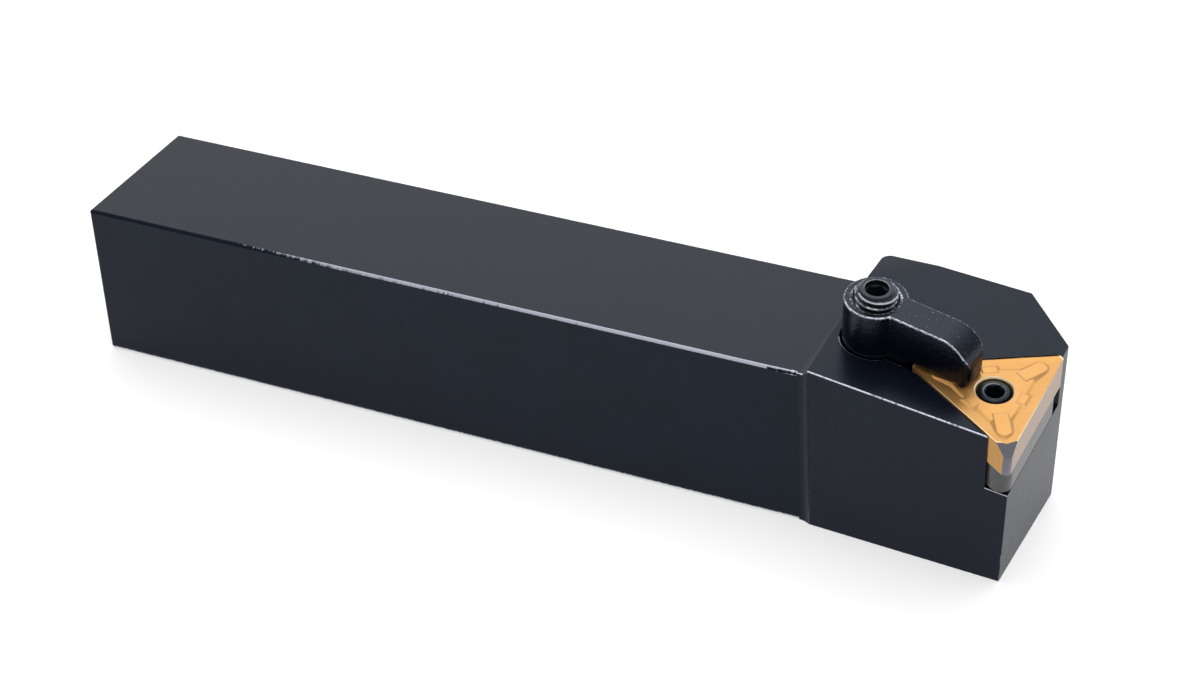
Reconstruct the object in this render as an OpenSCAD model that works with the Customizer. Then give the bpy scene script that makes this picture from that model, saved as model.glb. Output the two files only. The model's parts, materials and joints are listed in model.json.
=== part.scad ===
// Square-shank turning tool holder, left hand, for a triangular indexable insert
// that cuts across the end of the shank. The insert sits on a loose shim in a tilted
// pocket, a threaded pin passes up through both, and a clamp worked by a double-ended
// screw presses on the insert. Millimetres.
// The origin is the middle of the shank's underside. X runs along the shank towards the
// cutting edge, Z is up, and Y runs across the shank, with the cutting nose on the -Y side.

/* [Shank] */
// Width of the shank
shank_w = 25.4; // [22:0.1:32]
// Height of the shank, and of the cutting nose over the underside
shank_h = 25.4; // [22:0.1:32]
// Length from the rear end to the front cutting edge
overall_l = 152.4; // [120:0.1:200]
// Chamfer on the shank's edges
shank_chamfer = 0.4; // [0.1:0.1:1]

/* [Head] */
// Length of the raised head, from its rear wall to the front cutting edge
head_l = 30.8; // [29:0.1:36]
// Height of the head's level top over the shank's top
head_rise = 5.4; // [4.5:0.1:7]
// Reach of the cutting nose from the holder's back face
nose_reach = 31.75; // [30:0.05:35]
// Step of the head's near side out from the shank, at the underside
near_step = 0.64; // [0.2:0.02:2]
// Angle at which the near side flares out towards the nose
near_flare = 4; // [2:0.5:6]
// Outward lean of the near side and the front under the cutting edges
flank_lean = 5; // [3:0.5:7]
// How far the front face, at the underside, lies behind the cutting edge
front_setback = 2.6; // [2.2:0.1:4]
// Size of the upright chamfer at the front corner away from the nose
corner_cut = 5.9; // [3:0.1:9]
// Radius left by the cutter where the head rises from the shank
wall_fillet = 3; // [1:0.5:4]
// Radius of the head's rear corner on the back face
rear_corner_r = 1.4; // [0.5:0.1:3]

/* [Insert seat] */
// Slope of the seat, falling towards the front
front_tilt = 5.4; // [4:0.1:7]
// Slope of the seat, falling towards the nose side
side_tilt = 6.3; // [5:0.1:8]
// How far the insert stands above the head's sloping top
insert_proud = 0.3; // [0.1:0.1:0.8]
// Gap between the insert and the two walls of its pocket
wall_gap = 0.1; // [0.03:0.01:0.2]
// Radius of the relief where the two pocket walls meet
relief_r = 1.2; // [0.8:0.1:1.3]
// How far the relief cuts into each wall
relief_cut = 0.25; // [0.1:0.05:0.4]

/* [Insert] */
// Diameter of the circle that touches the insert's three sides
insert_ic = 12.7; // [12:0.1:13.5]
// Thickness of the insert
insert_t = 4.76; // [4.5:0.01:6.4]
// Radius of the insert's three cutting noses
nose_r = 0.8; // [0.8:0.1:2.4]
// How far back from its sharp corner the working nose is bevelled
nose_bevel = 2.5; // [1.5:0.1:3]
// Diameter of the hole through the insert
insert_bore = 5.16; // [4.9:0.01:5.6]
// Rounding of the hole's rim, as a chamfer
bore_rim = 0.3; // [0.1:0.05:0.4]
// Width of the flat land behind the cutting edge
land_w = 0.25; // [0.2:0.05:0.4]
// Width of the land at the tips of the noses
nose_land_w = 0.15; // [0.05:0.05:0.3]
// Depth of the chip groove
groove_depth = 0.4; // [0.2:0.05:0.6]
// Width of the groove's slope down from the land
rake_w = 1.7; // [1:0.1:2]
// Width of the groove's flat floor
valley_w = 0.1; // [0.05:0.05:0.3]
// Width of the groove's slope back up to the middle
rise_w = 0.6; // [0.3:0.1:0.8]
// Depth of the insert's middle below the tops of its ridges and blocks
island_drop = 0.08; // [0.04:0.01:0.12]
// Width of the tops of the ridges that run out to the noses
ridge_w = 2; // [1.6:0.1:2.6]
// Distance from the insert's middle to the start of each ridge
ridge_start = 4.7; // [4.6:0.1:5]
// Distance from the end of each ridge's top to the sharp corner of its nose
ridge_stop = 3.7; // [3:0.1:5]
// Length of the top of the block that faces the middle of each side
block_l = 2; // [1.4:0.1:2.6]
// Width of the block's top
block_w = 1.1; // [0.8:0.1:1.4]
// Distance of the block from the insert's middle
block_r = 4.1; // [3.9:0.1:4.3]
// Spread of the sides of the ridges and blocks, for each unit of their height
ridge_spread = 1.4; // [1:0.1:1.6]

/* [Shim] */
// Thickness of the shim
shim_t = 4.76; // [3:0.01:5]
// How far the shim's sides lie inside the insert's
shim_inset = 0.25; // [0.1:0.05:0.6]
// Radius of the shim's three corners
shim_nose_r = 1.6; // [1.2:0.1:2.4]
// Chamfer on the shim's edges
shim_chamfer = 0.3; // [0.1:0.05:0.5]

/* [Lock pin] */
// Diameter of the pin's smooth upper end
pin_d = 4.4; // [4:0.05:4.7]
// Thread diameter of the pin
pin_thread_d = 6; // [5:0.1:6.5]
// Length of the thread below the pocket floor
pin_thread_l = 9; // [6:0.5:12]
// Diameter of the pin's cone-shaped shoulder
pin_shoulder_d = 7.6; // [7:0.1:8.4]
// How far the pin's end lies below the insert's top
pin_sink = 0.15; // [0.1:0.05:0.5]
// Hexagon socket in the pin, across its flats
pin_socket = 2.5; // [2:0.1:2.8]
// Depth of the pin's socket
pin_socket_depth = 3; // [2:0.1:4]

/* [Clamp] */
// Radius of the clamp's round boss
boss_r = 4.5; // [4.3:0.1:6]
// Height of the clamp's flat top over the insert
clamp_top = 6.95; // [5.5:0.05:8.5]
// Width of the clamp's arm
arm_w = 5; // [4:0.1:5.4]
// Length of the clamp, from the screw's axis to the end of its nose
clamp_l = 16.2; // [15:0.1:17]
// Radius of the curve from the clamp's flat top down to the end of its nose
nose_drop_r = 4.6; // [3.6:0.1:5.4]
// Distance from the insert's middle to the screw's axis, along the shank
screw_back = 19.05; // [18:0.05:20]
// Distance from the insert's middle to the screw's axis, across the shank
screw_side = 3.3; // [2:0.1:5]
// Angle of the arm from the shank's length, towards the nose
arm_angle = 9.3; // [4:0.1:14]
// Diameter of the countersink at the top of the clamp's threaded hole
clamp_sink_d = 6.9; // [6.6:0.1:7.6]
// Depth of the recess in the head that takes the clamp's boss
recess_depth = 3.2; // [2:0.1:5]
// Gap round the boss in its recess
recess_gap = 0.3; // [0.2:0.05:0.6]
// Gap beside the arm in its channel
channel_gap = 0.5; // [0.3:0.05:0.8]
// Gap under the clamp's boss when the clamp is tight
boss_float = 0.8; // [0.3:0.1:0.9]

/* [Clamp screw] */
// Thread diameter of the clamp screw
screw_d = 6; // [5.4:0.1:6.3]
// Length of the clamp screw
screw_l = 30; // [26:0.5:32]
// How far the screw stands above the clamp
screw_proud = 1.75; // [1:0.05:3]
// Hexagon sockets in the screw's ends, across their flats
screw_socket = 3; // [2.5:0.1:3.2]
// Depth of the screw's sockets
screw_socket_depth = 4; // [3:0.1:5]

/* [Hidden] */

// Smoothness of round parts
$fn = 64;
// How far a cutting tool runs past the face it opens
over = 1;
// What makes round corners cross the straight sides that they run into
hair = 0.002;
// A block large enough to cut the head with
far_off = 120;
// How far the groove's cutter stands above the insert's face
groove_over = 0.12;
// Running clearance between a threaded part and its tapped hole
thread_gap = 0.05;
// Half of the angle of a drill's point, and the radius of its flat tip
drill_point = 59;
drill_flat = 0.3;
// How far the mouth of a key socket opens past its corners
socket_mouth = 0.2;

// Places along the shank, measured from its rear end
wall_x = overall_l - head_l;
head_top = shank_h + head_rise;
back_y = shank_w / 2;
front_x = overall_l - front_setback;
shank_middle = (wall_x - wall_fillet) / 2;

// The insert: half of its inscribed circle's diameter, and its sharp corner's distance from the middle
insert_r = insert_ic / 2;
insert_corner = 2 * insert_r;
// The seat's middle, from the place of the cutting nose
nose_y = back_y - nose_reach;
nose_corner_y = nose_y - nose_r * (sqrt(3) - 1);
// The upward direction of the tilted seat
seat_up = [sin(front_tilt) * cos(side_tilt), -sin(side_tilt), cos(front_tilt) * cos(side_tilt)];
// A point of the seat's own plane, turned into the holder's frame
function tilt(p) = [
    p[0] * cos(front_tilt) + p[1] * sin(side_tilt) * sin(front_tilt) + p[2] * seat_up[0],
    p[1] * cos(side_tilt) + p[2] * seat_up[1],
    -p[0] * sin(front_tilt) + p[1] * sin(side_tilt) * cos(front_tilt) + p[2] * seat_up[2]
];
seat_middle = [overall_l, nose_corner_y, shank_h] - tilt([insert_r, -insert_r * sqrt(3), 0]);

// Heights in the seat's frame, where zero is the insert's top
floor_z = -insert_t - shim_t;
head_z = -insert_proud;
recess_floor = head_z - recess_depth;
boss_bottom = recess_floor + boss_float;
screw_top = clamp_top + screw_proud;

// Room left under the clamp screw in its drilled hole
hole_spare = 1;

// The pin's shoulder sits in a cone sunk in the shim, just under the insert
cone_h = (pin_shoulder_d - pin_thread_d) / 2;
cone_gap = 0.15;
shoulder_z = -insert_t - 0.05;
// Chamfers on the ends of the pin and the clamp screw
pin_chamfer = 0.4;
screw_chamfer = 0.7;

// The clamp's arm: its gap over the insert, and the length of the toe that comes down at its end
arm_under = 0.6;
toe_l = 1.1;
// Corners of the clamp's nose, seen from the side at its foot, and from above
foot_corner = 0.6;
nose_corner = 1.2;
// Where the arm's deep part ends, short of the insert's rear corner
heel_gap = 0.4;
heel_l = (screw_back - insert_corner + nose_r) * cos(arm_angle) + screw_side * sin(arm_angle)
    - heel_gap;

// Puts its children, placed from the shank's rear end, round the holder's origin
module from_rear() {
    translate([-shank_middle, 0, 0]) children();
}

// Puts its children on the tilted seat, with the insert's top at zero
module on_seat() {
    translate(seat_middle) rotate([side_tilt, front_tilt, 0]) children();
}

// Puts its children on the clamp screw's axis, with X along the arm
module on_screw() {
    on_seat() translate([-screw_back, screw_side, 0]) rotate([0, 0, -arm_angle]) children();
}

// Everything beyond a plane through a point; the plane faces out along the azimuth and leans out going up
module beyond(point, azimuth, lean = 0) {
    translate(point) rotate([0, lean, azimuth])
        translate([0, -far_off / 2, -far_off / 2]) cube(far_off);
}

// A triangle that touches a circle of radius r_in, with corners of radius r_nose.
// The corners stand proud by a hair, so that they cross the sides and don't just touch them.
module round_triangle(r_in, r_nose) {
    reach = 2 * (r_in - r_nose);
    hexagon = [for (a = [60, 180, 300], side = [-60, 60])
        reach * [cos(a), sin(a)] + r_nose * [cos(a + side), sin(a + side)]];
    polygon(hexagon);
    for (a = [60, 180, 300]) rotate(a) translate([reach, 0]) circle(r_nose + hair);
}

// The hexagon that a key fits, going down from the origin, with its mouth opened by a cone
module key_socket(flats, depth) {
    corners = flats / cos(30);
    mouth = corners + 2 * socket_mouth;
    rotate([180, 0, 0]) {
        cylinder(d = corners, h = depth, $fn = 6);
        translate([0, 0, -over]) cylinder(d = mouth, h = over);
        cylinder(d1 = mouth, d2 = flats, h = (mouth - flats) / 2);
    }
}

// The holder's outline seen from the side: shank, fillet, rear wall and level top of the head
module side_profile() {
    square([wall_x, shank_h]);
    translate([wall_x, 0]) square([head_l + over, head_top]);
    translate([wall_x - wall_fillet, shank_h]) difference() {
        square(wall_fillet);
        translate([0, wall_fillet]) circle(wall_fillet);
    }
}

// The holder's outline seen from above, wide enough for the leaning near side
module plan_profile() {
    wide = shank_w + 2 * near_step + head_top * tan(flank_lean) + head_l * tan(near_flare);
    translate([0, -shank_w / 2]) square([wall_x, shank_w]);
    translate([wall_x, back_y - wide]) square([head_l + over, wide]);
    translate([wall_x - wall_fillet, -shank_w / 2 - wall_fillet]) difference() {
        square(wall_fillet);
        circle(wall_fillet);
    }
}

// A bar with chamfered long edges and a chamfered rear end
module shank() {
    c = shank_chamfer;
    module end_chamfered(width, height) {
        polygon([[0, c], [c, 0], [wall_x, 0], [wall_x, height], [c, height], [0, height - c]]);
    }
    intersection() {
        translate([0, shank_w / 2, 0]) rotate([90, 0, 0])
            linear_extrude(shank_w) end_chamfered(wall_x, shank_h);
        translate([0, -shank_w / 2, 0])
            linear_extrude(shank_h) end_chamfered(wall_x, shank_w);
        rotate([90, 0, 90]) linear_extrude(wall_x)
            translate([-shank_w / 2, 0])
            polygon([[c, 0], [shank_w - c, 0], [shank_w, c], [shank_w, shank_h - c],
                [shank_w - c, shank_h], [c, shank_h], [0, shank_h - c], [0, c]]);
    }
}

// The head before its pocket: milled from the side and from above, then cut by its slanting faces
module head_blank() {
    difference() {
        intersection() {
            translate([0, back_y, 0]) rotate([90, 0, 0]) linear_extrude(far_off) side_profile();
            linear_extrude(head_top) plan_profile();
            translate([wall_x - wall_fillet, -far_off / 2, 0]) cube(far_off);
        }
        beyond([wall_x, -shank_w / 2 - near_step, 0], -90 - near_flare, flank_lean);
        beyond([front_x, 0, 0], 0, flank_lean);
        beyond([front_x, back_y - corner_cut, 0], 45);
        on_seat() translate([0, 0, head_z]) rotate([0, -90, 0]) beyond([0, 0, 0], 0);
        rear_corner();
    }
}

// The rounding of the head's rear corner on the back face, above the shank
module rear_corner() {
    translate([wall_x, back_y, shank_h + wall_fillet]) rotate([0, 0, -90]) linear_extrude(head_top)
        translate([-over, -over]) difference() {
            square(rear_corner_r + over);
            translate([rear_corner_r + over, rear_corner_r + over]) circle(rear_corner_r);
        }
}

// The insert's pocket, open to the front, with a round relief where its two walls meet
module pocket() {
    side = insert_r + wall_gap;
    relief_x = 2 * (relief_r - relief_cut - side);
    open_x = insert_corner;
    function wall_y(x) = (side + x / 2) / cos(30);
    on_seat() translate([0, 0, floor_z]) linear_extrude(over - floor_z) {
        polygon([[relief_x, -wall_y(relief_x)], [open_x, -wall_y(open_x)],
            [open_x, wall_y(open_x)], [relief_x, wall_y(relief_x)]]);
        translate([relief_x, 0]) circle(relief_r);
    }
}

// The recess for the clamp's boss and the channel under its arm
module clamp_recess() {
    on_screw() translate([0, 0, recess_floor]) {
        cylinder(r = boss_r + recess_gap, h = recess_depth + over);
        translate([0, -arm_w / 2 - channel_gap, 0])
            cube([heel_l + heel_gap + 2 * recess_gap, arm_w + 2 * channel_gap, recess_depth + over]);
    }
}

// The drilled and tapped holes for the pin and the clamp screw
module tapped_holes() {
    on_seat() translate([0, 0, floor_z + over])
        blind_hole(pin_thread_d / 2 + thread_gap, pin_thread_l + 2 * over);
    on_screw() translate([0, 0, recess_floor + over])
        blind_hole(screw_d / 2 + thread_gap, recess_floor + over - (screw_top - screw_l) + hole_spare);
}

// A drilled hole going down from the origin, with the drill's cone at its end
module blind_hole(r, depth) {
    tip = (r - drill_flat) / tan(drill_point);
    translate([0, 0, -depth]) cylinder(r = r, h = depth);
    translate([0, 0, -depth - tip]) cylinder(r1 = drill_flat, r2 = r, h = tip);
}

module holder_body() {
    color("#2b2f38") from_rear() difference() {
        union() {
            shank();
            head_blank();
        }
        pocket();
        clamp_recess();
        tapped_holes();
    }
}

module shim() {
    side = insert_r - shim_inset;
    hole_r = pin_thread_d / 2 + cone_gap;
    c = shim_chamfer;
    color("#77787c") from_rear() on_seat() translate([0, 0, floor_z]) difference() {
        union() {
            linear_extrude(c) round_triangle(side - c, shim_nose_r);
            translate([0, 0, c]) linear_extrude(shim_t - 2 * c) round_triangle(side, shim_nose_r);
            translate([0, 0, shim_t - c]) linear_extrude(c) round_triangle(side - c, shim_nose_r);
        }
        translate([0, 0, -over]) cylinder(r = hole_r, h = shim_t + 2 * over);
        translate([0, 0, shoulder_z - floor_z - cone_h])
            cylinder(r1 = hole_r, r2 = hole_r + cone_h + over, h = cone_h + over);
    }
}

// A bar along X with a level top at zero and spreading sides, whose top runs from one place to
// another; nothing of it goes past its stop
module spread_bar(from, to, width, stop) {
    low = -2 * groove_depth;
    high = 2 * groove_over;
    module profile(span) {
        wide = span / 2 - low * ridge_spread;
        narrow = span / 2 - high * ridge_spread;
        polygon([[-wide, low], [wide, low], [narrow, high], [-narrow, high]]);
    }
    intersection() {
        rotate([90, 0, 90]) linear_extrude(stop) profile(width);
        translate([(from + to) / 2, insert_ic, 0]) rotate([90, 0, 0])
            linear_extrude(2 * insert_ic) profile(to - from);
    }
}

// A cone that rounds the end of a bar, with its top at zero
module spread_end(radius) {
    low = -2 * groove_depth;
    high = 2 * groove_over;
    translate([0, 0, low]) cylinder(h = high - low,
        r1 = radius + hair - low * ridge_spread, r2 = radius + hair - high * ridge_spread);
}

// The ridges that run out to the insert's noses, and the blocks that face its sides
module ridges() {
    tip = insert_corner - ridge_stop - ridge_w / 2;
    for (a = [60, 180, 300]) {
        rotate(a) spread_bar(ridge_start, insert_ic, ridge_w, tip);
        rotate(a) translate([tip, 0, 0]) spread_end(ridge_w / 2);
        rotate(a + 60) spread_bar(block_r - block_w / 2, block_r + block_w / 2, block_l, insert_ic);
    }
}

// What stays level round the tip of each nose, with a steep inner wall
module nose_lands() {
    r = nose_r - nose_land_w;
    for (a = [60, 180, 300]) rotate(a) translate([2 * (insert_r - nose_r), 0, -groove_depth]) difference() {
        translate([r / 2, -insert_r, -over]) cube([insert_ic, insert_ic, 3 * over]);
        cylinder(r1 = r / 2, r2 = 3 * r / 2, h = 2 * groove_depth);
    }
}

// A three-sided solid centred on the insert, whose sides slope from one distance to another
module three_sided(low_r, high_r, low_z, high_z) {
    intersection_for(a = [0, 120, 240]) rotate([90, 0, a])
        linear_extrude(4 * insert_corner, center = true)
        polygon([[-insert_corner, low_z], [low_r, low_z], [high_r, high_z], [-insert_corner, high_z]]);
}

// The chip groove of one face: it slopes down from the lands, and back up to the lowered middle
module chip_groove() {
    edge = insert_r - land_w;
    valley = edge - rake_w;
    foot = valley - valley_w;
    rake = rake_w / groove_depth;
    rise = rise_w / groove_depth;
    difference() {
        three_sided(valley, edge + groove_over * rake, -groove_depth, groove_over);
        three_sided(foot + rise_w, foot - rise_w + island_drop * rise, -2 * groove_depth, -island_drop);
        ridges();
        nose_lands();
    }
}

module insert() {
    bore_r = insert_bore / 2;
    working_nose = -60;
    bevel_start = insert_corner - nose_bevel;
    module bore_mouth() {
        translate([0, 0, -bore_rim])
            cylinder(r1 = bore_r, r2 = bore_r + bore_rim + over, h = bore_rim + over);
    }
    color("#dcae6c") from_rear() on_seat() difference() {
        translate([0, 0, -insert_t]) linear_extrude(insert_t) round_triangle(insert_r, nose_r);
        chip_groove();
        translate([0, 0, -insert_t]) mirror([0, 0, 1]) chip_groove();
        translate([0, 0, -insert_t - over]) cylinder(r = bore_r, h = insert_t + 2 * over);
        bore_mouth();
        translate([0, 0, -insert_t]) mirror([0, 0, 1]) bore_mouth();
        beyond([bevel_start * cos(working_nose), bevel_start * sin(working_nose), 0], working_nose, -45);
    }
}

module lock_pin() {
    top = -pin_sink;
    foot = floor_z - pin_thread_l;
    color("#3a3b40") from_rear() on_seat() difference() {
        rotate_extrude() polygon([
            [0, foot], [pin_thread_d / 2 - pin_chamfer, foot], [pin_thread_d / 2, foot + pin_chamfer],
            [pin_thread_d / 2, shoulder_z - cone_h], [pin_shoulder_d / 2, shoulder_z],
            [pin_d / 2, shoulder_z], [pin_d / 2, top - pin_chamfer],
            [pin_d / 2 - pin_chamfer, top], [0, top]]);
        translate([0, 0, top]) key_socket(pin_socket, pin_socket_depth);
    }
}

// The clamp seen from the side: flat top, rounded nose, toe and the step down into the recess
module clamp_profile() {
    toe_start = clamp_l - toe_l;
    toe_z = -island_drop;
    round_x = clamp_l - nose_drop_r;
    round_z = clamp_top - nose_drop_r;
    polygon([[0, boss_bottom], [heel_l, boss_bottom], [heel_l, arm_under],
        [toe_start - arm_under, arm_under], [toe_start, toe_z], [clamp_l - foot_corner, toe_z],
        [clamp_l, toe_z + foot_corner], [clamp_l, round_z], [round_x, round_z], [round_x, clamp_top],
        [0, clamp_top]]);
    intersection() {
        translate([round_x, round_z]) circle(nose_drop_r + hair);
        translate([round_x - over, round_z - over]) square([nose_drop_r + over, nose_drop_r + over]);
    }
}

// The clamp seen from above: the boss, the arm and its rounded nose
module clamp_plan() {
    corner_y = arm_w / 2 - nose_corner;
    circle(boss_r);
    translate([0, -arm_w / 2]) square([clamp_l - nose_corner, arm_w]);
    translate([0, -corner_y]) square([clamp_l, 2 * corner_y]);
    for (y = [-corner_y, corner_y]) translate([clamp_l - nose_corner, y]) circle(nose_corner);
}

module clamp() {
    sink_h = (clamp_sink_d - screw_d) / 2;
    height = clamp_top - boss_bottom;
    hole_r = screw_d / 2 + thread_gap;
    color("#26272b") from_rear() on_screw() difference() {
        intersection() {
            translate([0, 0, boss_bottom]) linear_extrude(height) clamp_plan();
            union() {
                rotate([90, 0, 0]) linear_extrude(4 * boss_r, center = true) clamp_profile();
                translate([0, 0, boss_bottom]) cylinder(r = boss_r, h = height);
            }
        }
        translate([0, 0, boss_bottom - over]) cylinder(r = hole_r, h = height + 2 * over);
        translate([0, 0, clamp_top - sink_h])
            cylinder(d1 = screw_d, d2 = clamp_sink_d + 2 * over, h = sink_h + over);
    }
}

module clamp_screw() {
    r = screw_d / 2;
    c = screw_chamfer;
    color("#4a4c52") from_rear() on_screw() translate([0, 0, screw_top - screw_l]) difference() {
        rotate_extrude()
            polygon([[0, 0], [r - c, 0], [r, c], [r, screw_l - c], [r - c, screw_l], [0, screw_l]]);
        translate([0, 0, screw_l]) key_socket(screw_socket, screw_socket_depth);
        rotate([180, 0, 0]) key_socket(screw_socket, screw_socket_depth);
    }
}

holder_body();
shim();
insert();
lock_pin();
clamp();
clamp_screw();
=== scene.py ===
"""The looks of a turning tool holder: its finishes, worn edges and threads, with painted highlights and
painted shade on the insert and the shim, and the studio round it.

Lengths are in metres, but for the tests of edges and of wear, which judge places in millimetres.
"""
import json
import math

import bmesh
import bpy
from mathutils import Matrix, Vector


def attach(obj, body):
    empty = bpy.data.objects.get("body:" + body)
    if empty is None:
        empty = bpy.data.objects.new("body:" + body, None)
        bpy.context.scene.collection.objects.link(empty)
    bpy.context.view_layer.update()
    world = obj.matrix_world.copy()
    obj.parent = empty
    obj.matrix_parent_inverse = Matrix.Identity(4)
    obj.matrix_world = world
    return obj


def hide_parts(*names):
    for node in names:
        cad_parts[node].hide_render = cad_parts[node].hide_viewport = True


MM = 0.001

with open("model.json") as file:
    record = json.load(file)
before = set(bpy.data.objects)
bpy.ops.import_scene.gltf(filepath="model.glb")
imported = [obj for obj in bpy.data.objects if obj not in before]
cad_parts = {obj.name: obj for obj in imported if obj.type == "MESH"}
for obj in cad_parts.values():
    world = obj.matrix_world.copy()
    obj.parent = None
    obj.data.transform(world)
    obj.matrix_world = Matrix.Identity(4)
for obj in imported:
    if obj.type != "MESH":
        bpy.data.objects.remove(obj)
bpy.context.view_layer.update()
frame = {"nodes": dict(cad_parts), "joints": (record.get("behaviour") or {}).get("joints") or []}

JOINTS = {joint["name"]: joint for joint in frame["joints"]}
UP = Vector(JOINTS["clamp_lift"]["axis"]).normalized()
SCREW_POINT = Vector(JOINTS["screw_turn"]["pos_m"])
PIN_POINT = Vector(JOINTS["pin_turn"]["pos_m"])

# What counts as one place, as a collapsed edge, as on a cut and as flat
SAME_PLACE = 0.0005 * MM
COLLAPSED = 0.0002 * MM
ON_CUT = 0.0001 * MM
FLAT_ANGLE = math.radians(0.3)

# The threads: both pieces have coarse 6 mm threads
PITCH = 1.0 * MM
THREAD_DEPTH = 0.6134 * PITCH
CREST_R = 3.0 * MM
ROOT_R = CREST_R - THREAD_DEPTH
RIGHT_HAND = 1
LEFT_HAND = -1
TURN_STEPS = 96

# One pitch of thread: each row's place along it, from a crest's middle, and how deep it is cut, from 0 to 1
THREAD_ROWS = [(-0.08, 0), (0.08, 0), (0.15, 0.2), (0.34, 0.9), (0.4, 1), (0.6, 1), (0.66, 0.9), (0.85, 0.2)]

# A thread's crest counts as whole down to this depth, and its shoulders are less worn by this much
WHOLE_CREST = 0.32 * MM
SHOULDER_DROP = 0.35

# Where the wear of the shank's near top chamfer starts, is well on and ends, and where the head starts,
# as X in millimetres
CHAMFER_WEAR_STARTS = -45
CHAMFER_WEAR_GROWN = -10
CHAMFER_WEAR_ENDS = 54.8
HEAD_START = 59

# The insert's three sides and its working nose, as directions on the seat
INSERT_SIDES = [Vector((math.cos(a), math.sin(a))) for a in (0, 2 * math.pi / 3, 4 * math.pi / 3)]
WORKING_NOSE = Vector((0.5, -math.sqrt(0.75)))

# The shim's lower edges lie below this height, in millimetres from the pin's origin
SHIM_LOWER_EDGES = -7


# Placing and measuring

def seat_axes(origin):
    """The matrix that stands a piece on the tilted seat, with its Z along the seat's normal."""
    across = UP.cross(Vector((1, 0, 0))).normalized()
    along = across.cross(UP).normalized()
    matrix = Matrix((along, across, UP)).transposed().to_4x4()
    matrix.translation = origin
    return matrix


TO_SEAT = seat_axes(PIN_POINT).inverted()


def on_seat(point):
    """A point as the seat's own axes see it from the pin, both in millimetres."""
    return TO_SEAT @ (point * MM) / MM


def height_over(origin, point):
    """How far a point in millimetres lies above an origin, along the seat's normal."""
    return (point * MM - origin).dot(UP) / MM


def reach(node, origin, direction):
    """How far a CAD node's mesh goes along a direction from a point, as its least and greatest values."""
    values = [(v.co - origin).dot(direction) for v in frame["nodes"][node].data.vertices]
    return min(values), max(values)


def ramp(value, start, end):
    """How far a value is on its way from start to end, from 0 to 1."""
    return min(max((value - start) / (end - start), 0), 1)


# Making pieces

def new_piece(name, bm, body, material, node):
    """Makes an object of a bmesh, which rides on a CAD body and replaces one of its nodes."""
    mesh = bpy.data.meshes.new(name)
    bm.to_mesh(mesh)
    bm.free()
    mesh.materials.append(material)
    piece = bpy.data.objects.new(name, mesh)
    bpy.context.scene.collection.objects.link(piece)
    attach(piece, body)
    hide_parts(node)
    return piece


def shade(bm, sharp_angle=30):
    """Smooth faces, with a crease wherever two of them meet at more than an angle."""
    for face in bm.faces:
        face.smooth = True
    for edge in bm.edges:
        edge.smooth = edge.is_manifold and edge.calc_face_angle(0) < math.radians(sharp_angle)


# Rigid pieces with rounded, worn edges

def face_angle(edge):
    """The angle between an edge's two faces in degrees, or 0 where there aren't two."""
    return math.degrees(edge.calc_face_angle(0)) if edge.is_manifold else 0


def dressed(node, body, material, rounds, wear_and_painted_light, sharp=24, segments=2, cuts=()):
    """A copy of a CAD node with its edges rounded.

    Each of the rounds is a radius, whether it is cut back where edges lie close together, and a test
    of an edge's middle, in millimetres, and of its direction.
    The fifth argument, called with (point, normal, edge, middle), gives how worn the finish is at a point in
    millimetres, and how much of it a face lacks from new, both from 0 to 1. On the insert and the shim these
    values also paint light and shade: pale rims and bore mouth as painted highlights, greyer edges and black
    seams as painted shade. edge says whether the face belongs to a rounded edge, and middle is the face's
    own middle.
    Long faces are cut at some values of X, in millimetres, so that their wear can change on the way.
    """
    bm = bmesh.new()
    bm.from_mesh(frame["nodes"][node].data)
    # The first layer also holds painted highlights (the insert's pale rims and bore mouth) and painted shade
    # (the shim's black seams); the second also holds painted shade (the insert's greyer edges)
    worn_and_painted_light = bm.loops.layers.float.new("wear_and_painted_light")
    bare_and_painted_shade = bm.loops.layers.float.new("bare_and_painted_shade")
    done = bm.faces.layers.int.new("done")
    bmesh.ops.remove_doubles(bm, verts=bm.verts, dist=SAME_PLACE)
    bmesh.ops.dissolve_limit(bm, angle_limit=FLAT_ANGLE, verts=bm.verts, edges=bm.edges)
    for radius, cut_back, test in rounds:
        edges = []
        for edge in bm.edges:
            first, second = (v.co / MM for v in edge.verts)
            fresh = not any(face[done] for face in edge.link_faces)
            chosen = test((first + second) / 2, (second - first).normalized())
            if fresh and chosen and face_angle(edge) > sharp:
                edges.append(edge)
        result = bmesh.ops.bevel(bm, geom=edges, offset=radius, offset_type="OFFSET", segments=segments,
                                 profile=0.5, affect="EDGES", clamp_overlap=cut_back)
        for face in result["faces"]:
            face[done] = 1
    for x in cuts:
        bmesh.ops.bisect_plane(bm, geom=[*bm.verts, *bm.edges, *bm.faces], dist=ON_CUT,
                               plane_co=(x * MM, 0, 0), plane_no=(1, 0, 0))
    bm.normal_update()
    for face in bm.faces:
        middle = face.calc_center_median() / MM
        for loop in face.loops:
            loop[worn_and_painted_light], loop[bare_and_painted_shade] = wear_and_painted_light(loop.vert.co / MM, face.normal, face[done] == 1, middle)
    bm.faces.layers.int.remove(done)
    shade(bm)
    piece = new_piece(node + "_finished", bm, body, material, node)
    weighted = piece.modifiers.new("flat faces stay flat", "WEIGHTED_NORMAL")
    weighted.keep_sharp = True
    weighted.weight = 100


# Turned pieces with threads and key sockets

def turned_point(matrix, radius, angle, height):
    """A point at an angle round the Z axis of a matrix."""
    return matrix @ Vector((radius * math.cos(angle), radius * math.sin(angle), height))


def ring(bm, matrix, radius_at, height_at):
    """A ring of vertices round the Z axis, with its radius and height given at each angle."""
    angles = [2 * math.pi * i / TURN_STEPS for i in range(TURN_STEPS)]
    return [bm.verts.new(turned_point(matrix, radius_at(a), a, height_at(a))) for a in angles]


def circle(bm, matrix, radius, height):
    """A ring that is round and level."""
    return ring(bm, matrix, lambda angle: radius, lambda angle: height)


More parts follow.
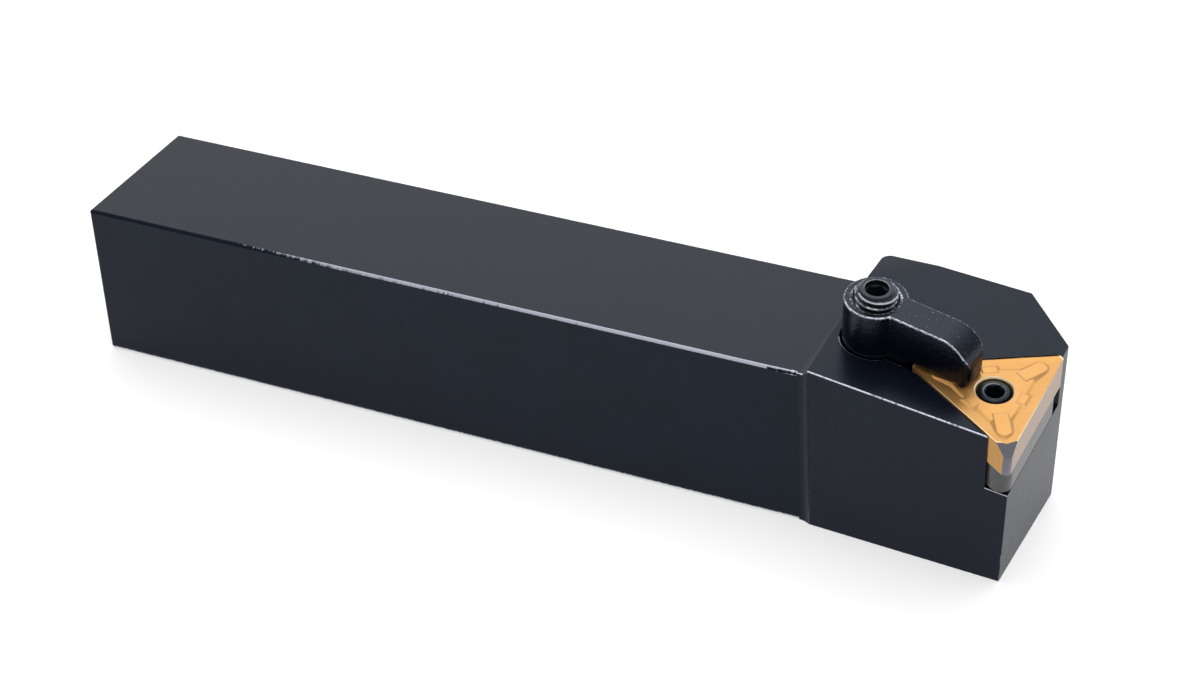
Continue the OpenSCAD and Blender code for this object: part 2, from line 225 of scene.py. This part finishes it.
def join_rings(bm, rings, wears):
    """Joins each ring to the next by a strip of faces. wears has one value for each strip."""
    level = bm.faces.layers.float["wear_and_painted_light"]
    for first, second, wear_and_painted_light in zip(rings, rings[1:], wears):
        for i in range(TURN_STEPS):
            j = (i + 1) % TURN_STEPS
            face = bm.faces.new((first[i], first[j], second[j], second[i]))
            face[level] = wear_and_painted_light


def hexagon(flats):
    """The radius of a hexagon at an angle, from its width across flats."""
    return lambda angle: flats / 2 / math.cos((angle + math.pi / 6) % (math.pi / 3) - math.pi / 6)


def socket_end(bm, matrix, rim_r, height, flats, depth, mouth, sink, outward, mouth_wear):
    """The end of a piece: a flat ring, a mouth with a bevel, a round bore down to sink, then a key socket.

    outward is 1 at the top and -1 below. The socket ends in the shallow cone that a drill leaves.
    """
    bore_r = flats / math.sqrt(3)
    mouth_r = bore_r + mouth
    tip_r = flats * 0.2
    tip_drop = flats * 0.12
    hexed = hexagon(flats)
    rings = [
        circle(bm, matrix, rim_r, height),
        circle(bm, matrix, mouth_r, height),
        circle(bm, matrix, bore_r, height - outward * mouth),
        circle(bm, matrix, bore_r, height - outward * sink),
        ring(bm, matrix, hexed, lambda a: height - outward * (sink + bore_r - hexed(a))),
        ring(bm, matrix, hexed, lambda a: height - outward * depth),
        circle(bm, matrix, tip_r, height - outward * (depth + tip_drop)),
    ]
    join_rings(bm, rings, (0, mouth_wear, 0, 0, 0, 0))
    bm.faces.new(rings[-1])


def thread_strip(bm, matrix, low, high, hand, end_r, crest_wear, phase=0.0):
    """A helical thread from one height to another. It runs out to a smaller radius at both ends.

    phase moves the thread along by a share of its pitch.
    """
    level = bm.faces.layers.float["wear_and_painted_light"]
    rows = len(THREAD_ROWS)
    turns = int((high - low) / PITCH) + 3
    columns = []
    radii = []
    for i in range(TURN_STEPS):
        part = i / TURN_STEPS
        column = []
        reached = []
        for k in range((turns + 1) * rows):
            turn, row = divmod(k, rows)
            place, cut = THREAD_ROWS[row]
            z = low + PITCH * (turn - 1 + phase + place + hand * part)
            z = min(max(z, low), high)
            to_end = min(z - low, high - z)
            r = min(CREST_R - THREAD_DEPTH * cut, end_r + to_end)
            column.append(bm.verts.new(turned_point(matrix, r, 2 * math.pi * part, z)))
            reached.append(r)
        columns.append(column)
        radii.append(reached)
    shoulder_wear = crest_wear - SHOULDER_DROP
    row_wear = {0: crest_wear, 1: shoulder_wear, rows - 1: shoulder_wear}
    for i in range(TURN_STEPS):
        here = columns[i]
        there = columns[(i + 1) % TURN_STEPS]
        shift = hand * rows if i == TURN_STEPS - 1 else 0
        for k in range(len(here) - 1):
            m = k + shift
            if 0 <= m and m + 1 < len(there):
                face = bm.faces.new((here[k], there[m], there[m + 1], here[k + 1]))
                on_crest = max(radii[i][k], radii[i][k + 1]) > CREST_R - WHOLE_CREST
                face[level] = row_wear.get(k % rows, 0.0) if on_crest else 0.0


def mend(bm):
    """Joins vertices that share a place, drops what has collapsed and turns all faces outward."""
    bmesh.ops.remove_doubles(bm, verts=bm.verts, dist=SAME_PLACE)
    bmesh.ops.dissolve_degenerate(bm, edges=bm.edges, dist=COLLAPSED)
    bmesh.ops.recalc_face_normals(bm, faces=bm.faces)


def clamp_screw(material):
    """The clamp screw: a right-hand thread below, a left-hand thread above and a neck between them."""
    low, cad_high = reach("clamp_screw", SCREW_POINT, UP)
    # It ends a hair below the CAD piece's top, so that rounding can't lift it out of the CAD model's box
    hair = 0.005 * MM
    high = cad_high - hair
    neck_low = low + 17 * MM
    neck_high = neck_low + 1.5 * MM
    end_r = CREST_R - 0.7 * MM
    key = 3.0 * MM
    key_depth = 4 * MM
    mouth = 0.06 * MM
    sink = 0.9 * MM
    matrix = seat_axes(SCREW_POINT)
    bm = bmesh.new()
    bm.faces.layers.float.new("wear_and_painted_light")
    thread_strip(bm, matrix, low, neck_low, RIGHT_HAND, end_r, crest_wear=0.6)
    thread_strip(bm, matrix, neck_high, high, LEFT_HAND, end_r, crest_wear=0.8, phase=-0.2)
    neck = [(end_r, neck_low), (ROOT_R, neck_low), (ROOT_R, neck_high), (end_r, neck_high)]
    join_rings(bm, [circle(bm, matrix, r, z) for r, z in neck], (0, 0, 0))
    for end, outward, mouth_wear in ((high, 1, 0.6), (low, -1, 0.3)):
        socket_end(bm, matrix, end_r, end, key, key_depth, mouth, sink, outward, mouth_wear)
    mend(bm)
    shade(bm, sharp_angle=20)
    new_piece("clamp_screw_threaded", bm, "screw", material, "clamp_screw")


def lock_pin(material):
    """The lock pin: a smooth head with a key socket, a cone and a right-hand thread."""
    low, high = reach("lock_pin", PIN_POINT, UP)
    head_r = 2.2 * MM
    shoulder_r = 3.8 * MM
    shoulder_z = -4.81 * MM
    cone_z = shoulder_z - (shoulder_r - CREST_R)
    thread_top = cone_z - 0.4 * MM
    bevel = 0.4 * MM
    bevel_bulge = bevel * 0.3
    key = 2.5 * MM
    key_depth = 3 * MM
    mouth = 0.12 * MM
    sink = 0.2 * MM
    matrix = seat_axes(PIN_POINT)
    bm = bmesh.new()
    bm.faces.layers.float.new("wear_and_painted_light")
    thread_strip(bm, matrix, low, thread_top, RIGHT_HAND, ROOT_R, crest_wear=0.4)
    outline = [(ROOT_R, thread_top), (CREST_R, cone_z), (shoulder_r, shoulder_z), (head_r, shoulder_z),
               (head_r, high - bevel), (head_r - bevel_bulge, high - bevel_bulge), (head_r - bevel, high)]
    join_rings(bm, [circle(bm, matrix, r, z) for r, z in outline], (0, 0, 0, 0, 0.2, 0.2))
    socket_end(bm, matrix, head_r - bevel, high, key, key_depth, mouth, sink, outward=1, mouth_wear=0.6)
    bm.faces.new(circle(bm, matrix, ROOT_R, low))
    mend(bm)
    shade(bm, sharp_angle=20)
    new_piece("lock_pin_threaded", bm, "pin", material, "lock_pin")


# Which edges are rounded alike

def any_edge(middle, direction):
    """Every edge that no earlier round has taken."""
    return True


def near_top_edge(middle, direction):
    """The long edge between the head's near side and its sloping top."""
    return middle.x > HEAD_START and middle.y < -11.5 and middle.z > 23 and abs(direction.x) > 0.9


def off_rear_corner(middle, direction):
    """Everything but the small faces where the head's wall, its fillet and its back corner meet."""
    return not (55 < middle.x < 66 and middle.z > 20 and (middle.y > 8 or middle.y < -11))


def insert_rim(middle, direction):
    """The insert's outer edges, and those of its ground nose."""
    flat = on_seat(middle).xy
    at_side = max(flat.dot(side) for side in INSERT_SIDES) > 6.3
    at_nose = flat.length > 11.3
    at_working_nose = flat.dot(WORKING_NOSE) > 10
    return at_side or at_nose or at_working_nose


def ridge_edge(middle, direction):
    """The edges of the chip-breaker's ridges, away from the bore and the rim."""
    off_bore = on_seat(middle).xy.length > 3.4
    return off_bore and not insert_rim(middle, direction)


def shim_floor(middle, direction):
    """The shim's lower edges."""
    return height_over(PIN_POINT, middle) < SHIM_LOWER_EDGES


# Wear, painted highlights and painted shade, as the photograph shows them

def holder_wear(point, normal, edge, middle):
    """The near top edges are the most worn. The shank's fades towards the rear and stops before the head.

    The front face lacks the black finish.
    """
    x, y, z = point
    on_front_face = normal.x > 0.95 and x > 80
    if on_front_face:
        return 0.0, 1.0
    on_near_chamfer = normal.y < -0.3 and normal.z > 0.3 and y < -12 and z > 24.5 and x < 61
    if on_near_chamfer and middle.x > CHAMFER_WEAR_ENDS:
        return (0.8 if z > 25.3 else 0.0), 0.0
    if on_near_chamfer:
        level = (0.1 + 0.65 * ramp(x, CHAMFER_WEAR_STARTS, CHAMFER_WEAR_GROWN)
                 + 0.25 * ramp(x, CHAMFER_WEAR_GROWN, HEAD_START))
        return (level if z > 25.15 else level - 0.2), 0.0
    if not edge:
        return 0.0, 0.0
    toward_near_top = normal.y < -0.2 and normal.z > 0.2
    if toward_near_top and y < -11.5 and z > 23 and x > HEAD_START:
        return 0.62, 0.0
    on_edge_under_shim = toward_near_top and x > 84 and y < -14 and z < 16.8
    if on_edge_under_shim:
        return 0.9, 0.0
    from_screw = (point * MM - SCREW_POINT).cross(UP).length / MM
    round_clamp_boss = z > 23 and from_screw < 6.5
    if round_clamp_boss:
        return (0.9 if y < -7.5 else 0.2), 0.0
    far_or_low = y > 12 or z < 1
    return (0.46 if far_or_low else 0.2), 0.0


def clamp_wear(point, normal, edge, middle):
    """The long top edge on the near side is bare. The low edges, and those that face down, aren't worn."""
    height = height_over(SCREW_POINT, point)
    if not edge:
        return (0.24 if height > 3 and normal.z > 0.1 else 0.0), 0.0
    if normal.y < -0.25 and normal.z > 0.2 and height > 3.5:
        return (0.66 if normal.y < -0.5 else 0.55), 0.0
    return (0.42 if height > 2 and normal.z > 0.1 else 0.0), 0.0


def insert_wear_and_painted_light(point, normal, edge, middle):
    """The working nose is ground through its coating, and the front flank is painted partly grey and darker.

    The rims and the bore's mouth are painted pale: painted highlights. The other rounded edges, the ridges'
    among them, are painted a little grey and darker: painted shade.
    """
    flat = on_seat(point).xy
    facing = TO_SEAT.to_3x3() @ normal
    on_working_nose = flat.dot(WORKING_NOSE) > 9 and facing.xy.dot(WORKING_NOSE) > 0.6
    if on_working_nose:
        return 0.0, 1.0
    on_front_flank = facing.x > 0.95
    if on_front_flank:
        return 0.0, 0.6
    # The rims' rounded edges and the bore's mouth are painted pale: painted highlights
    on_rim = max(flat.dot(side) for side in INSERT_SIDES) > 6.1 or flat.length > 11.2
    on_bore_mouth = flat.length < 2.95 and 0.5 < abs(facing.z) < 0.95
    if (edge and on_rim) or on_bore_mouth:
        return 0.8, 0.0
    # Other rounded edges, the ridges' among them, are painted a little grey and darker: painted shade
    return 0.0, (0.3 if edge else 0.0)


def shim_painted_seam_shade(point, normal, edge, middle):
    """The shim's seams with the holder and the insert are painted black: painted shade, full on the lower
    edges and half on the others.
    """
    lower = height_over(PIN_POINT, point) < SHIM_LOWER_EDGES
    # Painted shade in the seams: black on the lower rounded edges, half of it on the others
    return ((1.0 if lower else 0.5) if edge else 0.0), 0.0


# Shader nodes

def add(tree, kind, inputs=None, **settings):
    """Adds a shader node. An input is a value, or the socket that feeds it."""
    node = tree.nodes.new(kind)
    for name, value in settings.items():
        setattr(node, name, value)
    for name, value in (inputs or {}).items():
        feed(tree, node.inputs[name], value)
    return node


def feed(tree, socket, value):
    """Gives a socket its value, or links it to the socket that feeds it."""
    if isinstance(value, bpy.types.NodeSocket):
        tree.links.new(value, socket)
    else:
        socket.default_value = value


def new_material(name):
    material = bpy.data.materials.new(name)
    material.use_nodes = True
    tree = material.node_tree
    return material, tree, tree.nodes["Principled BSDF"]


def noise(tree, scale, detail=3.0, roughness=0.55, stretch=(1, 1, 1)):
    """Noise in the object's own metres: scale is how many blobs go in a metre."""
    place = add(tree, "ShaderNodeTexCoord").outputs["Object"]
    if stretch != (1, 1, 1):
        place = add(tree, "ShaderNodeMapping", {"Vector": place, "Scale": stretch}).outputs["Vector"]
    return add(tree, "ShaderNodeTexNoise", {"Vector": place, "Scale": scale, "Detail": detail,
                                            "Roughness": roughness}).outputs["Fac"]


def maths(tree, operation, a, b):
    node = add(tree, "ShaderNodeMath", operation=operation)
    feed(tree, node.inputs[0], a)
    feed(tree, node.inputs[1], b)
    return node.outputs[0]


def remap(tree, value, low, high, to_low=0.0, to_high=1.0):
    return add(tree, "ShaderNodeMapRange", {"Value": value, "From Min": low, "From Max": high,
                                            "To Min": to_low, "To Max": to_high}).outputs["Result"]


def spread(tree, value, to_low=0.0, to_high=1.0):
    """Noise keeps to the middle of its range, and this spreads it out from one value to another."""
    return remap(tree, value, 0.3, 0.7, to_low, to_high)


def mix_colour(tree, factor, a, b):
    """Blends two colours, each a tuple or a socket. The node's colour sockets are known by number only."""
    node = add(tree, "ShaderNodeMix", {"Factor": factor}, data_type="RGBA")
    for socket, value in ((node.inputs[6], a), (node.inputs[7], b)):
        feed(tree, socket, (*value, 1) if isinstance(value, tuple) else value)
    return node.outputs[2]


def layer(tree, name):
    """What the mesh says of a place: how worn it is, or how much of the finish it lacks. On the insert and
    the shim these also hold painted highlights and painted shade.
    """
    return add(tree, "ShaderNodeAttribute", attribute_name=name).outputs["Fac"]


def wear_and_highlight_mask(tree, scale, stretch=(1, 1, 1)):
    """Where an edge has lost its finish, and where the insert has a pale painted highlight: the wear layer
    against patchy noise.
    """
    softness = 0.12
    patchy = noise(tree, scale, 3.0, 0.6, stretch)
    level = maths(tree, "SUBTRACT", maths(tree, "ADD", layer(tree, "wear_and_painted_light"), patchy), 1.0)
    return remap(tree, level, -softness, softness)


def bump(tree, shader, height, strength, distance):
    node = add(tree, "ShaderNodeBump", {"Height": height, "Strength": strength, "Distance": distance})
    tree.links.new(node.outputs["Normal"], shader.inputs["Normal"])


# Materials

def blackened_steel(name, base, pale, metal, roughness, grain, grain_depth, ior, wear_scale=1500,
                    stretch=(1, 1, 1), ground=(0.056, 0.06, 0.07), tint=(0.68, 0.82, 1.0)):
    """Black oxide on steel, mottled between base and pale, with metal showing where the edges are worn.

    ground is the brushed steel of a face that lacks the finish, and tint is the colour of the gloss.
    grain and wear_scale say how many grains and how many patches of wear go in a metre, and stretch draws
    those patches out.
    """
    material, tree, shader = new_material(name)
    mottled = spread(tree, noise(tree, 90, 3.0, 0.6))
    finish = mix_colour(tree, mottled, base, pale)
    brushed = spread(tree, noise(tree, 900, 4.0, 0.6, (1, 1, 0.06)), 0.55, 1.0)
    lacking_and_painted_shade = maths(tree, "MULTIPLY", layer(tree, "bare_and_painted_shade"), brushed)
    worn_and_painted_light = wear_and_highlight_mask(tree, wear_scale, stretch)
    colour = mix_colour(tree, worn_and_painted_light, mix_colour(tree, lacking_and_painted_shade, finish, ground), metal)
    tree.links.new(colour, shader.inputs["Base Color"])
    tree.links.new(worn_and_painted_light, shader.inputs["Metallic"])
    fine = noise(tree, grain, 2.0, 0.6)
    rough = spread(tree, fine, roughness - 0.05, roughness + 0.05)
    rough = maths(tree, "ADD", rough, maths(tree, "MULTIPLY", lacking_and_painted_shade, 0.15))
    rough = maths(tree, "ADD", rough, maths(tree, "MULTIPLY", worn_and_painted_light, 0.2))
    tree.links.new(rough, shader.inputs["Roughness"])
    shader.inputs["IOR"].default_value = ior
    shader.inputs["Specular Tint"].default_value = (*tint, 1)
    bump(tree, shader, fine, 1.0, grain_depth)
    return material


def carbide_grain(tree, shader, smooth, rough, depth):
    """Fine grain, between two roughnesses, with a slight bump."""
    fine = noise(tree, 9000, 2.0)
    tree.links.new(spread(tree, fine, smooth, rough), shader.inputs["Roughness"])
    bump(tree, shader, fine, 0.5, depth)


def coated_carbide(name):
    """A satin gold coating with fine grain, with painted highlights, pale, on its rims and bore mouth, and
    painted shade, greyer, on its other edges. It is missing from the ground nose, and partly grey on the
    front flank.
    """
    material, tree, shader = new_material(name)
    cloudy = spread(tree, noise(tree, 350))
    gold = mix_colour(tree, cloudy, (0.56, 0.28, 0.075), (0.61, 0.32, 0.095))
    # Grey where the coating is missing, and grey as painted shade on the edges away from the rims
    lacking_and_painted_shade = layer(tree, "bare_and_painted_shade")
    coat_and_painted_shade = mix_colour(tree, lacking_and_painted_shade, gold, (0.135, 0.138, 0.165))
    # Pale cream on the rims and the bore's mouth: painted highlights
    worn_and_painted_light = wear_and_highlight_mask(tree, 1500)
    tree.links.new(mix_colour(tree, worn_and_painted_light, coat_and_painted_shade, (0.95, 0.78, 0.52)), shader.inputs["Base Color"])
    tree.links.new(remap(tree, lacking_and_painted_shade, 0.0, 1.0, 0.6, 0.1), shader.inputs["Metallic"])
    carbide_grain(tree, shader, 0.28, 0.4, 0.004 * MM)
    return material


def ground_carbide(name):
    """Bare grey carbide, ground, with painted shade: black in its seams."""
    material, tree, shader = new_material(name)
    cloudy = spread(tree, noise(tree, 500))
    clean = mix_colour(tree, cloudy, (0.03, 0.03, 0.033), (0.05, 0.049, 0.052))
    # Painted shade: the seams are mixed to near black
    painted_seam_shade = layer(tree, "wear_and_painted_light")
    tree.links.new(mix_colour(tree, painted_seam_shade, clean, (0.002, 0.002, 0.003)), shader.inputs["Base Color"])
    shader.inputs["IOR"].default_value = 1.6
    carbide_grain(tree, shader, 0.3, 0.42, 0.003 * MM)
    return material


# The studio

def area_light(name, place, target, size, power):
    data = bpy.data.lights.new(name, "AREA")
    data.shape = "RECTANGLE"
    data.size, data.size_y = size
    data.energy = power
    light = bpy.data.objects.new(name, data)
    light.location = place
    light.rotation_euler = (Vector(target) - Vector(place)).to_track_quat("-Z", "Y").to_euler()
    bpy.context.scene.collection.objects.link(light)


def sky():
    """A white sky that is brightest behind the holder and overhead."""
    brightest_way = (-0.15, 0.6, 0.8)
    world = bpy.data.worlds.new("studio")
    world.use_nodes = True
    tree = world.node_tree
    background = tree.nodes["Background"]
    background.inputs["Color"].default_value = (1, 1, 1, 1)
    toward = add(tree, "ShaderNodeVectorMath", operation="DOT_PRODUCT")
    feed(tree, toward.inputs[0], add(tree, "ShaderNodeTexCoord").outputs["Generated"])
    feed(tree, toward.inputs[1], brightest_way)
    near = remap(tree, toward.outputs["Value"], 0.2, 1.0)
    strength = remap(tree, maths(tree, "POWER", near, 2.0), 0.0, 1.0, to_low=0.45, to_high=1.85)
    tree.links.new(strength, background.inputs["Strength"])
    bpy.context.scene.world = world


def white_floor():
    """A floor that burns out to white, a hair below the holder's underside."""
    half = 3.0
    z = -0.02 * MM
    corners = [(-half, -half, z), (half, -half, z), (half, half, z), (-half, half, z)]
    mesh = bpy.data.meshes.new("floor")
    mesh.from_pydata(corners, [], [(0, 1, 2, 3)])
    floor = bpy.data.objects.new("floor", mesh)
    bpy.context.scene.collection.objects.link(floor)
    material, _, shader = new_material("white_floor")
    shader.inputs["Base Color"].default_value = (0.6, 0.6, 0.6, 1)
    shader.inputs["Roughness"].default_value = 0.9
    shader.inputs["Emission Color"].default_value = (1, 1, 1, 1)
    shader.inputs["Emission Strength"].default_value = 0.52
    mesh.materials.append(material)


def camera():
    """The photograph's view: a long lens, a little above, with the frame turned a few degrees."""
    data = bpy.data.cameras.new("camera")
    data.sensor_width = 36
    data.lens = 90.53
    data.clip_start = 0.01
    view = bpy.data.objects.new("camera", data)
    view.location = (0.198912, -0.330134, 0.261912)
    view.rotation_euler = [math.radians(a) for a in (56.4168, 2.8590, 26.2944)]
    bpy.context.scene.collection.objects.link(view)
    bpy.context.scene.camera = view


# The finishes

black_oxide = blackened_steel(
    "black_oxide", base=(0.003, 0.0045, 0.010), pale=(0.0045, 0.0062, 0.0135), metal=(0.55, 0.56, 0.66),
    roughness=0.26, grain=5200, grain_depth=0.004 * MM, ior=1.275, wear_scale=2200, stretch=(1, 0.1, 0.1))
cast_black = blackened_steel(
    "cast_black_oxide", base=(0.0015, 0.002, 0.0045), pale=(0.0035, 0.0045, 0.009), metal=(0.55, 0.57, 0.64),
    roughness=0.2, grain=2800, grain_depth=0.05 * MM, ior=1.37, wear_scale=3200, tint=(0.6, 0.74, 1.0))
gunmetal = blackened_steel(
    "gunmetal", base=(0.008, 0.009, 0.012), pale=(0.015, 0.016, 0.02), metal=(0.7, 0.7, 0.74),
    roughness=0.22, grain=6000, grain_depth=0.003 * MM, ior=1.42)
pin_black = blackened_steel(
    "pin_black_oxide", base=(0.004, 0.006, 0.01), pale=(0.008, 0.01, 0.016), metal=(0.4, 0.42, 0.48),
    roughness=0.3, grain=6000, grain_depth=0.003 * MM, ior=1.36)
gold_coating = coated_carbide("gold_coating")
grey_carbide = ground_carbide("ground_carbide")

# The pieces

dressed("holder_body", "holder", black_oxide,
        [(0.15 * MM, False, near_top_edge), (0.1 * MM, False, off_rear_corner), (0.1 * MM, True, any_edge)],
        holder_wear, cuts=(CHAMFER_WEAR_STARTS, CHAMFER_WEAR_GROWN, CHAMFER_WEAR_ENDS))
dressed("clamp", "top_clamp", cast_black,
        [(0.22 * MM, False, any_edge)],
        clamp_wear, segments=3)
dressed("insert", "holder", gold_coating,
        [(0.06 * MM, False, insert_rim), (0.1 * MM, True, ridge_edge), (0.04 * MM, True, any_edge)],
        insert_wear_and_painted_light, sharp=35)
dressed("shim", "holder", grey_carbide,
        [(0.12 * MM, True, shim_floor), (0.05 * MM, True, any_edge)],
        shim_painted_seam_shade)
clamp_screw(gunmetal)
lock_pin(pin_black)

# The stage

sky()
white_floor()
area_light("overhead", place=(0, 0.2, 1.6), target=(0, 0.2, 0), size=(2.4, 2.4), power=6)
area_light("key", place=(0.15, -0.1, 0.6), target=(0.05, 0, 0), size=(0.25, 0.2), power=0.45)
bpy.context.scene.view_settings.view_transform = "Standard"
camera()
